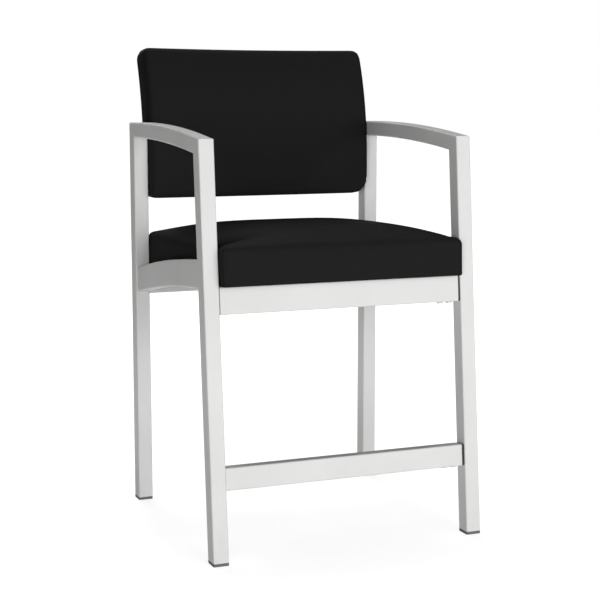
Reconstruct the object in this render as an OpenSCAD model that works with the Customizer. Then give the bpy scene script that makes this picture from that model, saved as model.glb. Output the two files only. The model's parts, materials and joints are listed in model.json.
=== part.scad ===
// Hip chair: a high guest chair with a steel tube frame, arched armrests,
// a foot rail, and an upholstered seat and back. The left side frame and the
// cross rails are one welded frame. The right side frame pushes into the open
// rail ends on sleeves, with a dark spacer at each joint.
// X runs across the chair, -Y is the front, Z is up, and the floor is z = 0.

/* [Overall] */
// Width across the two side frames
chair_w = 584; // [500:1:760]
// Depth on the floor, from the front feet to the backs of the rear legs
foot_depth = 546; // [480:1:640]
// Backward rake of the front legs, in degrees
leg_rake = 5; // [1:0.5:7]

/* [Legs] */
// Width of a leg tube, seen from the front
leg_w = 31.75; // [28:0.25:44]
// Depth of a leg tube, seen from the side
leg_d = 35; // [30:0.5:46]
// Wall of every steel tube
tube_t = 2; // [1.2:0.1:3]
// Outer corner radius of every steel tube
tube_r = 3; // [1.5:0.5:5]
// Thickness of the glide cap under a leg
glide_t = 6; // [3:0.5:15]
// Length of the glide plug inside a leg
glide_plug = 24; // [12:1:45]

/* [Armrests] */
// Height of an armrest at its front corner
arm_front_z = 817; // [740:1:880]
// Height of an armrest at its rear corner
arm_rear_z = 841; // [760:1:900]
// Radius of an armrest's arched top
arm_arch_r = 3300; // [1500:10:6000]
// Height of the armrest tube
arm_h = 32.5; // [25:0.5:45]

/* [Side rails] */
// Height of a side rail's top edge at the front leg
side_front_z = 583; // [540:1:630]
// Height of a side rail's top edge at the rear leg
side_rear_z = 526; // [480:1:570]
// Radius of a side rail's arched top
side_arch_r = 2700; // [1200:10:6000]
// Thickness of a side rail
side_rail_w = 25.4; // [18:0.2:28]
// Step from a leg's outer face to the side rail
side_inset = 5; // [1:0.5:9]

/* [Cross rails] */
// Height of the seat rails and of the side rails
rail_h = 54; // [40:1:65]
// Depth of the cross rails, from front to back
rail_d = 31.75; // [20:0.25:34]
// Height of the foot rail
foot_rail_h = 44.5; // [30:0.5:60]
// Distance up the front leg to the underside of the front seat rail
front_rail_up = 484; // [440:1:520]
// Distance up the front leg to the underside of the foot rail
foot_rail_up = 144.5; // [100:0.5:260]
// Thickness of the spacers at the seat rails
spacer_t = 4.5; // [2:0.5:10]
// Thickness of the spacer at the foot rail
foot_spacer_t = 6; // [2:0.5:12]
// Length of a sleeve inside its rail
sleeve_in = 46; // [30:1:80]
// Wall of a sleeve
sleeve_t = 3; // [2:0.25:5]
// Step from a rail's faces down to its spacer's
spacer_inset = 0.5; // [0:0.1:1]

/* [Seat] */
// Fall of the seat towards the back, in degrees
seat_tilt = 1.8; // [0:0.1:4]
// How far the cushion stands in front of the front legs
seat_proud = 19; // [5:1:40]
// How far the cushion passes behind the front faces of the rear legs
seat_tuck = 20; // [5:1:34]
// Height of the cushion where its top edge rounds over
seat_h = 77; // [62:1:120]
// Extra height in the middle of the cushion
seat_crown = 27.5; // [4:0.5:40]
// How squarely the crown fills the cushion: 2 is a dome, and more is flatter
seat_fill = 3.8; // [2:0.1:6]
// Extra height at the back of the cushion
seat_wedge = 5; // [0:1:15]
// Radius of the cushion's top edge
seat_edge_r = 20; // [12:1:40]
// Radius of the cushion's upright corners
seat_corner_r = 10; // [8:1:40]
// Depth that the sides are drawn in under the edge of the seat board
seat_draw = 1.5; // [0:0.5:6]
// Thickness of the seat board
seat_board_t = 15; // [10:1:22]
// Width of the cover's turned edge under the seat board
cover_lip = 22; // [12:1:30]
// Thickness of the dust cloth under the seat board
dust_t = 0.6; // [0.4:0.1:1]
// Length of a seat tab, from its rail inwards
tab_l = 44; // [36:1:60]
// Width of a seat tab
tab_w = 50; // [36:1:70]
// Thickness of a seat tab
tab_t = 4; // [3:0.5:6]
// Drop of a seat tab down its rail
tab_drop = 36; // [20:1:38]

/* [Back] */
// Height of the underside of the back
back_z = 678.5; // [640:1:740]
// Height of the back
back_h = 322; // [240:1:400]
// Thickness of the back, from front to rear
back_t = 74; // [60:1:95]
// How far the back stands in front of the rear legs
back_proud = 24.5; // [10:0.5:40]
// Upright length at the foot of the back, below its curve
back_straight = 82; // [70:1:120]
// Radius of the curve that leans the back rearwards
back_curve_r = 590; // [420:10:1200]
// Extra thickness in the middle of the back
back_crown = 6; // [0:1:14]
// How squarely that thickness fills the back
back_fill = 2.5; // [2:0.1:6]
// Radius of the back's corners, seen from the front
back_corner_r = 21; // [15:1:50]
// Radius of the back's front edge
back_edge_r = 12; // [6:1:20]
// Thickness of the back board
back_board_t = 12; // [8:1:18]
// Thickness of the padded rear panel
rear_panel_t = 14; // [9:1:18]
// Radius of the rear panel's outer edge
rear_edge_r = 5; // [2:0.5:7]
// Depth that the sides of the back are drawn in at its rear
back_draw = 2; // [0:0.5:4]
// Room behind the back board for the brackets, in front of the rear panel
panel_gap = 4; // [2:0.5:6]
// Radius of the pads that hold the rear panel to the board
clip_r = 9; // [6:0.5:14]
// Thickness of a back bracket
bracket_t = 4; // [3:0.5:6]
// Height of a back bracket
bracket_h = 66; // [50:1:68]
// Length of a back bracket, from the leg into the back
bracket_l = 58; // [45:1:80]

/* [Fits and skins] */
// Gap between a cushion and the leg beside it
cushion_gap = 2.25; // [1:0.25:6]
// Thickness of the vinyl cover
cover_t = 1.2; // [0.8:0.1:2.5]
// Clearance between soft parts and what they lie against
soft_gap = 0.3; // [0.2:0.1:0.6]
// Clearance round a sleeve or plug in its tube
slide_gap = 0.25; // [0.1:0.05:0.5]
// Radial clearance round a bolt in its thread or insert
thread_gap = 0.1; // [0.05:0.05:0.2]
// Radial clearance of a bolt in a plain hole
bolt_gap = 0.5; // [0.3:0.1:1]

/* [Fasteners] */
// Shank radius of the bolts and screws
bolt_r = 3; // [2.5:0.25:4]
// Head radius of the bolts and screws
head_r = 6; // [5:0.25:7]
// Head height of the bolts and screws
head_t = 3.4; // [2.5:0.1:5]
// Across-corner radius of the key socket in a head
socket_r = 2.2; // [1.5:0.1:2.4]
// Flange radius of an insert nut
nut_flange_r = 10; // [8:0.5:11]
// Flange thickness of an insert nut
nut_flange_t = 1.4; // [1:0.1:2]
// Barrel wall of an insert nut
nut_wall = 1.4; // [1:0.1:2]
// Length of a rail screw that stands out of its sleeve's wall
screw_end = 2; // [1:0.5:6]

/* [Hidden] */

silver = [0.86, 0.86, 0.85];
dark = [0.16, 0.16, 0.16];
glide_grey = [0.38, 0.38, 0.39];
vinyl = [0.13, 0.13, 0.13];
zinc = [0.72, 0.73, 0.74];
birch = [0.80, 0.68, 0.50];
foam_cream = [0.90, 0.86, 0.72];

// One overrun serves every cut
over = 4;
arc_fn = 1440;
round_fn = 32;
corner_fn = 24;

half_w = chair_w / 2;
inner_half = half_w - leg_w;
cushion_half = inner_half - cushion_gap;

// Y places on the floor: the origin is midway between the front feet and the
// rearmost point of the back
rear_panel_y = back_t - back_proud - leg_d;
top_slope = asin((back_h - rear_edge_r - back_straight) / back_curve_r);
back_overhang = rear_panel_y + lean(back_h - rear_edge_r) + rear_edge_r * (1 / cos(top_slope) - 1);
front_y = -(foot_depth + back_overhang) / 2;
post_rear_y = front_y + foot_depth;
post_front_y = post_rear_y - leg_d;

// A point beside the raked front leg: h up its front face, s behind that face
function up_leg(h, s) = [front_y + h * sin(leg_rake) + s * cos(leg_rake),
                         h * cos(leg_rake) - s * sin(leg_rake)];
function up_at_height(z, s) = (z + s * sin(leg_rake)) / cos(leg_rake);

// Centre of a circle of radius r that arches over the chord from p to q
function arch_centre(p, q, r) =
  let (chord = norm(q - p), along = (q - p) / chord)
  (p + q) / 2 + [along.y, -along.x] * sqrt(r * r - chord * chord / 4);
// Distance up the leg, s behind its front face, to the circle about c
function up_to_arch(s, c, r) =
  let (away = up_leg(0, s) - c, k = away * [sin(leg_rake), cos(leg_rake)])
  -k + sqrt(k * k - away * away + r * r);
function arch_z(y, c, r) = c.y + sqrt(r * r - pow(y - c.x, 2));

// Armrest: outer corners on top, inner corners under it, at both mitres
arm_front = up_leg(up_at_height(arm_front_z, 0), 0);
arm_rear = [post_rear_y, arm_rear_z];
arm_c = arch_centre(arm_front, arm_rear, arm_arch_r);
arm_low_r = arm_arch_r - arm_h;
arm_front_in = up_leg(up_to_arch(leg_d, arm_c, arm_low_r), leg_d);
arm_rear_in = [post_front_y, arch_z(post_front_y, arm_c, arm_low_r)];
front_mitre = arm_front_in - arm_front;
rear_mitre = arm_rear_in - arm_rear;

// Side rail
side_front = up_leg(up_at_height(side_front_z, leg_d), leg_d);
side_rear = [post_front_y, side_rear_z];
side_c = arch_centre(side_front, side_rear, side_arch_r);
side_x = half_w - side_inset - side_rail_w / 2;

// Cross rails: the front ones are centred in the legs' depth
rail_set = (leg_d - rail_d) / 2;
rail_len = 2 * inner_half - spacer_t;
foot_rail_len = 2 * inner_half - foot_spacer_t;
front_rail_top = front_rail_up + rail_h;
front_rail_edge = up_leg(front_rail_top, rail_set);

// Seat frame: its origin is the cushion's front lower edge, its Y runs back
// along the fall of the seat
seat_front_y = front_y + front_rail_edge.y * tan(leg_rake) - seat_proud;
seat_z = front_rail_edge.y + soft_gap + (front_rail_edge.x - seat_front_y) * tan(seat_tilt);
seat_back_y = post_front_y + seat_tuck;
seat_l = (seat_back_y - seat_front_y) / cos(seat_tilt);
function seat_under_z(y) = seat_z - (y - seat_front_y) * tan(seat_tilt);
board_under = cover_t / cos(seat_tilt);

rear_rail_y = post_front_y + rail_set;
rear_rail_z = seat_under_z(rear_rail_y + rail_d) - soft_gap - rail_h;

// Seat board and its four fastening points, as distances in the seat frame
board_inset = seat_draw + cover_t + soft_gap + 2 * soft_gap;
board_half = cushion_half - board_inset;
board_l = seat_l - 2 * board_inset;
tab_hole = tab_l / 2;
tab_x = cushion_half / 2;

// Back: n is measured forwards from the rear face of the rear panel
back_face_y = post_front_y - back_proud;
back_rear_y = back_face_y + back_t;
bracket_n = rear_panel_t + panel_gap;
board_n = bracket_n + bracket_t;
foam_n = board_n + back_board_t;
cover_n = rear_panel_t + soft_gap;
back_board_inset = cover_t + back_draw + 2 * soft_gap;
bracket_hole_share = 0.62;
back_bolt_x = inner_half - bracket_l * bracket_hole_share;
bracket_low = (back_straight - bracket_h) / 2;
bracket_bolt_shares = [0.24, 0.76];
clip_x = cushion_half / 2;
clip_shares = [0.22, 0.8];

// Lean of the back at a height s above its foot
function lean(s) = s <= back_straight ? 0
  : back_curve_r - sqrt(pow(back_curve_r, 2) - pow(s - back_straight, 2));
function on_back(p) = [p.x, back_rear_y + lean(p.y) - p.z, back_z + p.y];

module rounded_rect(size, r) {
  translate([r, 0]) square([size.x - 2 * r, size.y]);
  translate([0, r]) square([size.x, size.y - 2 * r]);
  for (x = [r, size.x - r], y = [r, size.y - r])
    translate([x, y]) circle(r, $fn = corner_fn);
}

// Corner radius of a tube's section, drawn inset from its outer face
function inner_r(inset) = tube_r * tube_r / (tube_r + inset);

// Draws a Y-Z outline and gives it a width along X, centred on x
module across(w, x = 0) {
  translate([x - w / 2, 0, 0]) rotate([90, 0, 90]) linear_extrude(w) children();
}

module in_leg_frame() {
  translate([0, front_y, 0]) rotate([-leg_rake, 0, 0]) children();
}

module in_seat_frame() {
  translate([0, seat_front_y, seat_z]) rotate([-seat_tilt, 0, 0]) children();
}

// Upright tube of a leg: its section grows inwards by inset, from lo to hi
module leg_bar(x, y, inset, lo, hi) {
  translate([x - leg_w / 2 + inset, y + inset, lo]) linear_extrude(hi - lo)
    rounded_rect([leg_w - 2 * inset, leg_d - 2 * inset], inner_r(inset));
}
module leg_tube(x, y, lo, hi) {
  difference() {
    leg_bar(x, y, 0, lo, hi);
    leg_bar(x, y, tube_t, lo - over, hi + over);
  }
}

module front_leg(side) {
  x = side * (half_w - leg_w / 2);
  top = up_at_height(arm_front_z, 0) + over;
  a = arm_front - front_mitre;
  b = arm_front_in + front_mitre;
  color(silver) intersection() {
    in_leg_frame() leg_tube(x, 0, -over, top);
    across(leg_w + 2 * over, x) polygon([[front_y - over, glide_t], [b.x, glide_t], b, a,
      [front_y - over, a.y]]);
  }
}

module rear_leg(side) {
  x = side * (half_w - leg_w / 2);
  a = arm_rear - rear_mitre;
  b = arm_rear_in + rear_mitre;
  color(silver) intersection() {
    leg_tube(x, post_front_y, glide_t, arm_rear_z + over);
    across(leg_w + 2 * over, x) polygon([[b.x, 0], [a.x, 0], a, b]);
  }
}

// Rectangular tube bent along an arch in the Y-Z plane, between two angles
module arched_bar(c, r, h, w, x, lo, hi, inset) {
  translate([x, c.x, c.y]) rotate([90, 0, 90]) rotate([0, 0, lo])
    rotate_extrude(angle = hi - lo, $fn = arc_fn)
      translate([r - h + inset, inset - w / 2])
        rounded_rect([h - 2 * inset, w - 2 * inset], inner_r(inset));
}

module arched_tube(c, r, h, w, x, from, to) {
  margin = over / r * 180 / PI + h / r * 60;
  lo = atan2(from.y - c.y, from.x - c.x) - margin;
  hi = atan2(to.y - c.y, to.x - c.x) + margin;
  difference() {
    arched_bar(c, r, h, w, x, lo, hi, 0);
    arched_bar(c, r, h, w, x, lo, hi, tube_t);
  }
}

module armrest(side) {
  x = side * (half_w - leg_w / 2);
  color(silver) intersection() {
    arched_tube(arm_c, arm_arch_r, arm_h, leg_w, x, arm_rear, arm_front);
    across(leg_w + 2 * over, x) polygon([arm_front_in + front_mitre, arm_front - front_mitre,
      arm_rear - rear_mitre, arm_rear_in + rear_mitre]);
  }
}

module side_rail(side) {
  x = side * side_x;
  low = min(side_front_z, side_rear_z) - 2 * rail_h;
  high = max(side_front_z, side_rear_z) + rail_h;
  color(silver) intersection() {
    arched_tube(side_c, side_arch_r, rail_h, side_rail_w, x, side_rear, side_front);
    across(side_rail_w + 2 * over, x) polygon([up_leg(up_at_height(low, leg_d), leg_d),
      [post_front_y, low], [post_front_y, high], up_leg(up_at_height(high, leg_d), leg_d)]);
  }
}

// Bar along X, from x = start, with its section's lower front corner at [y, z]
module cross_bar(start, len, y, z, d, h, inset) {
  translate([start, y + inset, z + inset]) rotate([90, 0, 90]) linear_extrude(len)
    rounded_rect([d - 2 * inset, h - 2 * inset], inner_r(inset));
}

screw_shares = [0.3, 0.75];
function screw_x(rail_end, i) = rail_end - sleeve_in * screw_shares[i];

module cross_rail(len, y, z, h) {
  end = len - inner_half;
  difference() {
    cross_bar(-inner_half, len, y, z, rail_d, h, 0);
    cross_bar(-inner_half - over, len + 2 * over, y, z, rail_d, h, tube_t);
    for (i = [0, 1]) translate([screw_x(end, i), y + rail_d / 2, z - over])
      cylinder(h = tube_t + 2 * over, r = bolt_r + bolt_gap, $fn = round_fn);
  }
}

module rail_sleeve(len, y, z, h) {
  end = len - inner_half;
  start = end - sleeve_in;
  run = inner_half - start;
  skin = tube_t + slide_gap;
  difference() {
    cross_bar(start, run, y, z, rail_d, h, skin);
    cross_bar(start - over, run + 2 * over, y, z, rail_d, h, skin + sleeve_t);
    for (i = [0, 1]) translate([screw_x(end, i), y + rail_d / 2, z])
      cylinder(h = skin + sleeve_t + over, r = bolt_r + thread_gap, $fn = round_fn);
  }
}

// Dark plate between a rail's end and the leg, with the sleeve through it
module rail_spacer(len, gap, y, z, h) {
  end = len - inner_half;
  difference() {
    cross_bar(end, gap, y, z, rail_d, h, spacer_inset);
    cross_bar(end - over, gap + 2 * over, y, z, rail_d, h, tube_t);
  }
}

module rail_screw_pair(len, y, z) {
  end = len - inner_half;
  reach = tube_t + slide_gap + sleeve_t + screw_end;
  for (i = [0, 1]) translate([screw_x(end, i), y + rail_d / 2, z]) difference() {
    union() {
      cylinder(h = reach, r = bolt_r, $fn = round_fn);
      translate([0, 0, -head_t]) cylinder(h = head_t, r = head_r, $fn = round_fn);
    }
    translate([0, 0, -head_t - over]) cylinder(h = over + head_t / 2, r = socket_r, $fn = 6);
  }
}

module glide_shape(x, y) {
  leg_bar(x, y, 0, -leg_d, glide_t + over);
}

module glide_core(x, y, lo, hi) {
  difference() {
    leg_bar(x, y, tube_t + slide_gap, lo, hi);
    leg_bar(x, y, tube_t + slide_gap + sleeve_t, lo - over, hi + over);
  }
}

module glide_cut(x, y, lo, hi) {
  across(leg_w + 2 * over, x) translate([y - 2 * leg_d, lo]) square([4 * leg_d, hi - lo]);
}

module front_glide(side) {
  x = side * (half_w - leg_w / 2);
  color(glide_grey) union() {
    intersection() {
      in_leg_frame() glide_shape(x, 0);
      glide_cut(x, front_y, 0, glide_t);
    }
    intersection() {
      in_leg_frame() glide_core(x, 0, -over, glide_t + glide_plug);
      glide_cut(x, front_y, glide_t / 2, glide_t + glide_plug);
    }
  }
}

module rear_glide(side) {
  x = side * (half_w - leg_w / 2);
  color(glide_grey) union() {
    leg_bar(x, post_front_y, 0, 0, glide_t);
    glide_core(x, post_front_y, glide_t / 2, glide_t + glide_plug);
  }
}

// Angle tabs that carry the seat board, welded to the front and rear rails
function along_seat(p, d) = p + d * [cos(seat_tilt), -sin(seat_tilt)];
function below_seat(p, d) = p - d * [sin(seat_tilt), cos(seat_tilt)];
rail_back = up_leg(0, rail_set + rail_d);
leg_dir = [sin(leg_rake), cos(leg_rake)];
leg_in = [cos(leg_rake), -sin(leg_rake)];
// Height up the front rail's rear face at which it meets the board's underside
tab_up = (seat_under_z(rail_back.x) + board_under - rail_back.y)
  / (leg_dir.y + leg_dir.x * tan(seat_tilt));
front_tab_root = rail_back + tab_up * leg_dir;
rear_tab_root = [rear_rail_y, seat_under_z(rear_rail_y) + board_under];

module tab_flange(root, way) {
  polygon([root, along_seat(root, way * tab_l), below_seat(along_seat(root, way * tab_l), tab_t),
    below_seat(root, tab_t)]);
}

module tab_holes(root, way) {
  p = along_seat(root, way * tab_hole);
  for (side = [-1, 1]) translate([side * tab_x, p.x, p.y]) rotate([-seat_tilt, 0, 0])
    translate([0, 0, -tab_t - over]) cylinder(h = tab_t + 2 * over, r = bolt_r + bolt_gap, $fn = round_fn);
}

module front_seat_tabs() {
  foot = front_tab_root - tab_drop * leg_dir;
  color(silver) difference() {
    for (side = [-1, 1]) across(tab_w, side * tab_x) union() {
      tab_flange(front_tab_root, 1);
      polygon([front_tab_root, foot, foot + tab_t * leg_in, front_tab_root + tab_t * leg_in]);
    }
    tab_holes(front_tab_root, 1);
  }
}

module rear_seat_tabs() {
  foot = rear_tab_root - [0, tab_drop];
  color(silver) difference() {
    for (side = [-1, 1]) across(tab_w, side * tab_x) union() {
      tab_flange(rear_tab_root, -1);
      polygon([below_seat(rear_tab_root, tab_t), foot, foot - [tab_t, 0],
        below_seat(along_seat(rear_tab_root, -tab_t), tab_t / 2)]);
    }
    tab_holes(rear_tab_root, -1);
  }
}

// Places something at the four seat bolts, on the board's underside
module at_seat_bolts() {
  for (place = [[front_tab_root, 1], [rear_tab_root, -1]], side = [-1, 1]) {
    p = along_seat(place[0], place[1] * tab_hole);
    translate([side * tab_x, p.x, p.y]) rotate([-seat_tilt, 0, 0]) children();
  }
}

module bolt(reach) {
  difference() {
    union() {
      cylinder(h = reach, r = bolt_r, $fn = round_fn);
      translate([0, 0, -head_t]) cylinder(h = head_t, r = head_r, $fn = round_fn);
    }
    translate([0, 0, -head_t - over]) cylinder(h = over + head_t / 2, r = socket_r, $fn = 6);
  }
}

// Insert nut: its flange lies in a counterbore on the far side of a board
barrel_share = 0.7;
module insert_nut(board_t) {
  barrel = bolt_r + thread_gap + nut_wall;
  long = board_t * barrel_share;
  difference() {
    union() {
      translate([0, 0, board_t - nut_flange_t - soft_gap])
        cylinder(h = nut_flange_t, r = nut_flange_r, $fn = round_fn);
      translate([0, 0, board_t - long]) cylinder(h = long - soft_gap, r = barrel, $fn = round_fn);
    }
    translate([0, 0, -over]) cylinder(h = board_t + 2 * over, r = bolt_r + thread_gap, $fn = round_fn);
  }
}

module insert_hole(board_t) {
  translate([0, 0, -over]) cylinder(h = board_t + 2 * over,
    r = bolt_r + 2 * thread_gap + nut_wall, $fn = round_fn);
  translate([0, 0, board_t - nut_flange_t - soft_gap])
    cylinder(h = nut_flange_t + over, r = nut_flange_r + bolt_gap, $fn = round_fn);
}

module seat_board() {
  color(birch) difference() {
    in_seat_frame() translate([-board_half, board_inset, cover_t]) linear_extrude(seat_board_t)
      rounded_rect([2 * board_half, board_l], seat_corner_r);
    at_seat_bolts() insert_hole(seat_board_t);
  }
}

// Padded form: rings of points from its base up over its rounded edge
corner_steps = 4;
side_steps = [6, 8];
wall_steps = 3;
edge_steps = 4;
seat_top_shares = [0.92, 0.8, 0.62, 0.4, 0.18];
back_top_shares = [0.84, 0.64, 0.4, 0.18];
corner_growth = 0.7;
ring_n = 4 * corner_steps + 2 * (side_steps[0] + side_steps[1]);

function outline(a, b, r) =
  let (signs = [[1, 1], [-1, 1], [-1, -1], [1, -1]])
  [for (q = [0 : 3], j = [0 : corner_steps + side_steps[q % 2] - 1])
    let (c = [signs[q].x * (a - r), signs[q].y * (b - r)], t = 90 * (q + min(j, corner_steps) / corner_steps),
         n = (q + 1) % 4, c2 = [signs[n].x * (a - r), signs[n].y * (b - r)],
         end = r * [cos(90 * (q + 1)), sin(90 * (q + 1))],
         k = max(0, j - corner_steps) / side_steps[q % 2])
    j <= corner_steps ? c + r * [cos(t), sin(t)] : (1 - k) * (c + end) + k * (c2 + end)];

// Half sizes a and b, base height z0, edge height t, edge radius e, corner
// radius r, draw of the base, crown and its fill, skin, by which all of it is
// smaller, and the shares of the size at which rings lie on the top
function pad_rings(a, b, z0, t, e, r, draw, crown, fill, skin, top_shares) =
  let (wall_top = t - e, levels = concat(
    [for (i = [0 : wall_steps]) let (z = z0 + (wall_top - z0) * i / wall_steps)
      [z, skin + draw * pow(1 - max(0, z) / wall_top, 2)]],
    [for (i = [1 : edge_steps]) let (t2 = 90 * i / edge_steps)
      [wall_top + (e - skin) * sin(t2), e - (e - skin) * cos(t2)]]),
    top = levels[len(levels) - 1])
  concat(
    [for (l = levels) [for (p = outline(a - l[1], b - l[1], r + corner_growth * (l[1] - skin)))
      [p.x, p.y, l[0] + crown * (l[0] - z0) / (t - z0) * swell(p, a, b, fill)]]],
    [for (k = top_shares) [for (p = outline(a - top[1], b - top[1], r + corner_growth * (top[1] - skin)))
      [k * p.x, k * p.y, t - skin + crown * swell(k * p, a, b, fill)]]]);
function swell(p, a, b, fill) = (1 - pow(abs(p.x / a), fill)) * (1 - pow(abs(p.y / b), fill));

// Rings inside the base, for a pad whose base is bent afterwards
base_shares = [0.16, 0.33, 0.5, 0.67, 0.84];
function base_rings(ring, shares) = [for (k = shares) [for (p = ring) [k * p.x, k * p.y, p.z]]];

function pad_points(rings, t, skin, crown) =
  concat([for (ring = rings, p = ring) p], [[0, 0, t - skin + crown], [0, 0, rings[0][0].z]]);
function pad_faces(ring_count) = concat(
  [for (i = [0 : ring_n - 1]) [i, (i + 1) % ring_n, ring_count * ring_n + 1]],
  [for (k = [0 : ring_count - 2], i = [0 : ring_n - 1])
    let (a = k * ring_n + i, b = k * ring_n + (i + 1) % ring_n)
    [a, a + ring_n, b]],
  [for (k = [0 : ring_count - 2], i = [0 : ring_n - 1])
    let (a = k * ring_n + i, b = k * ring_n + (i + 1) % ring_n)
    [b, a + ring_n, b + ring_n]],
  [for (i = [0 : ring_n - 1]) let (base = (ring_count - 1) * ring_n)
    [base + (i + 1) % ring_n, base + i, ring_count * ring_n]]);

module seat_pad(z0, skin) {
  rings = pad_rings(cushion_half, seat_l / 2, z0, seat_h, seat_edge_r, seat_corner_r,
    seat_draw, seat_crown, seat_fill, skin, seat_top_shares);
  points = [for (p = pad_points(rings, seat_h, skin, seat_crown))
    [p.x, p.y + seat_l / 2, p.z + seat_wedge * (p.y / seat_l + 0.5) * (p.z - z0) / seat_h]];
  in_seat_frame() polyhedron(points, pad_faces(len(rings)));
}

module seat_foam() {
  color(foam_cream) seat_pad(cover_t + seat_board_t, cover_t + soft_gap);
}

// Room round the tabs' flanges, cut out of the cloth and the cover's edge
module tab_notches() {
  for (place = [[front_tab_root, 1], [rear_tab_root, -1]], side = [-1, 1])
    across(tab_w + 2 * tab_t, side * tab_x)
      let (a = along_seat(place[0], -place[1] * soft_gap), b = along_seat(a, place[1] * (tab_l + tab_t)))
        polygon([below_seat(a, -soft_gap), below_seat(b, -soft_gap), below_seat(b, tab_t),
          below_seat(a, tab_t)]);
}

module seat_cover() {
  color(vinyl) difference() {
    seat_pad(0, 0);
    seat_pad(cover_t, cover_t);
    in_seat_frame() translate([cover_lip - cushion_half, cover_lip, -over])
      linear_extrude(2 * over)
        rounded_rect([2 * (cushion_half - cover_lip), seat_l - 2 * cover_lip], seat_corner_r);
    tab_notches();
  }
}

// Thin cloth under the seat board, notched round the four tabs
module seat_dust_cover() {
  reach = cover_lip + soft_gap;
  color(dark) difference() {
    in_seat_frame() translate([reach - cushion_half, reach, cover_t - dust_t])
      linear_extrude(dust_t)
        rounded_rect([2 * (cushion_half - reach), seat_l - 2 * reach], seat_corner_r);
    tab_notches();
  }
}

// Slab of the back between two depths, from s = lo to hi, with width along X
function slab_outline(n0, n1, lo, hi) =
  let (steps = 16, at = [for (i = [0 : steps]) lo + (hi - lo) * i / steps])
  concat([for (s = at) let (p = on_back([0, s, n0])) [p.y, p.z]],
         [for (i = [steps : -1 : 0]) let (p = on_back([0, at[i], n1])) [p.y, p.z]]);

module at_back_bolts() {
  for (side = [-1, 1], k = bracket_bolt_shares)
    translate([side * back_bolt_x, back_rear_y - bracket_n, back_z + bracket_low + k * bracket_h])
      rotate([90, 0, 0]) children();
}

module back_board() {
  color(birch) difference() {
    intersection() {
      across(2 * cushion_half) polygon(slab_outline(board_n, foam_n - 2 * soft_gap,
        back_board_inset, back_h - back_board_inset));
      translate([back_board_inset - cushion_half, back_rear_y + back_overhang, back_z + back_board_inset])
        rotate([90, 0, 0]) linear_extrude(back_t + back_overhang)
          rounded_rect([2 * (cushion_half - back_board_inset), back_h - 2 * back_board_inset],
            back_corner_r);
    }
    at_back_bolts() translate([0, 0, bracket_t]) insert_hole(back_board_t - 2 * soft_gap);
  }
}

module back_pad(z0, t, e, draw, crown, skin, shares = []) {
  up = pad_rings(cushion_half, back_h / 2, z0, t, e, back_corner_r, draw, crown, back_fill, skin,
    back_top_shares);
  rings = concat(base_rings(up[0], shares), up);
  points = [for (p = pad_points(rings, t, skin, crown)) on_back([p.x, p.y + back_h / 2, p.z])];
  polyhedron(points, pad_faces(len(rings)));
}

module back_foam() {
  color(foam_cream) back_pad(foam_n, back_t, back_edge_r, back_draw, back_crown, cover_t + soft_gap,
    base_shares);
}

// Slits through which the brackets enter the back's sides
module bracket_slots() {
  for (side = [-1, 1]) across(bracket_l, side * (inner_half - bracket_l / 2))
    polygon(slab_outline(cover_n - over, board_n + soft_gap, bracket_low - soft_gap,
      bracket_low + bracket_h + soft_gap));
}

module back_cover() {
  color(vinyl) difference() {
    back_pad(cover_n, back_t, back_edge_r, back_draw, back_crown, 0);
    back_pad(cover_n - over, back_t, back_edge_r, back_draw, back_crown, cover_t);
    bracket_slots();
  }
}

// Padded panel that closes the rear of the back
module back_rear_panel() {
  up = pad_rings(cushion_half, back_h / 2, -rear_panel_t, 0, rear_edge_r, back_corner_r, 0, 0,
    back_fill, 0, back_top_shares);
  rings = concat(base_rings(up[0], base_shares), up);
  points = [for (p = pad_points(rings, 0, 0, 0)) on_back([p.x, p.y + back_h / 2, -p.z])];
  color(vinyl) polyhedron(points, [for (f = pad_faces(len(rings))) [for (i = [len(f) - 1 : -1 : 0]) f[i]]]);
}

module back_bracket(side) {
  color(silver) difference() {
    across(bracket_l, side * (inner_half - bracket_l / 2))
      polygon(slab_outline(bracket_n, board_n, bracket_low, bracket_low + bracket_h));
    at_back_bolts() translate([0, 0, -over])
      cylinder(h = bracket_t + 2 * over, r = bolt_r + bolt_gap, $fn = round_fn);
  }
}

module panel_clips() {
  color(dark) intersection() {
    across(2 * cushion_half) polygon(slab_outline(rear_panel_t + soft_gap, board_n - soft_gap, 0, back_h));
    for (side = [-1, 1], k = clip_shares)
      translate([side * clip_x, back_rear_y + back_overhang, back_z + k * back_h]) rotate([90, 0, 0])
        cylinder(h = back_t + 2 * back_overhang, r = clip_r, $fn = round_fn);
  }
}

front_leg(-1);  // left_front_leg
front_leg(1);  // right_front_leg
rear_leg(-1);  // left_rear_leg
rear_leg(1);  // right_rear_leg
armrest(-1);  // left_armrest
armrest(1);  // right_armrest
side_rail(-1);  // left_side_rail
side_rail(1);  // right_side_rail
color(silver) in_leg_frame()  // front_rail
  cross_rail(rail_len, rail_set, front_rail_up, rail_h);
color(silver)  // rear_rail
  cross_rail(rail_len, rear_rail_y, rear_rail_z, rail_h);
color(silver) in_leg_frame()  // foot_rail
  cross_rail(foot_rail_len, rail_set, foot_rail_up, foot_rail_h);
color(silver) in_leg_frame()  // front_rail_sleeve
  rail_sleeve(rail_len, rail_set, front_rail_up, rail_h);
color(silver)  // rear_rail_sleeve
  rail_sleeve(rail_len, rear_rail_y, rear_rail_z, rail_h);
color(silver) in_leg_frame()  // foot_rail_sleeve
  rail_sleeve(foot_rail_len, rail_set, foot_rail_up, foot_rail_h);
color(dark) in_leg_frame()  // front_rail_spacer
  rail_spacer(rail_len, spacer_t, rail_set, front_rail_up, rail_h);
color(dark)  // rear_rail_spacer
  rail_spacer(rail_len, spacer_t, rear_rail_y, rear_rail_z, rail_h);
color(dark) in_leg_frame()  // foot_rail_spacer
  rail_spacer(foot_rail_len, foot_spacer_t, rail_set, foot_rail_up, foot_rail_h);
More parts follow.
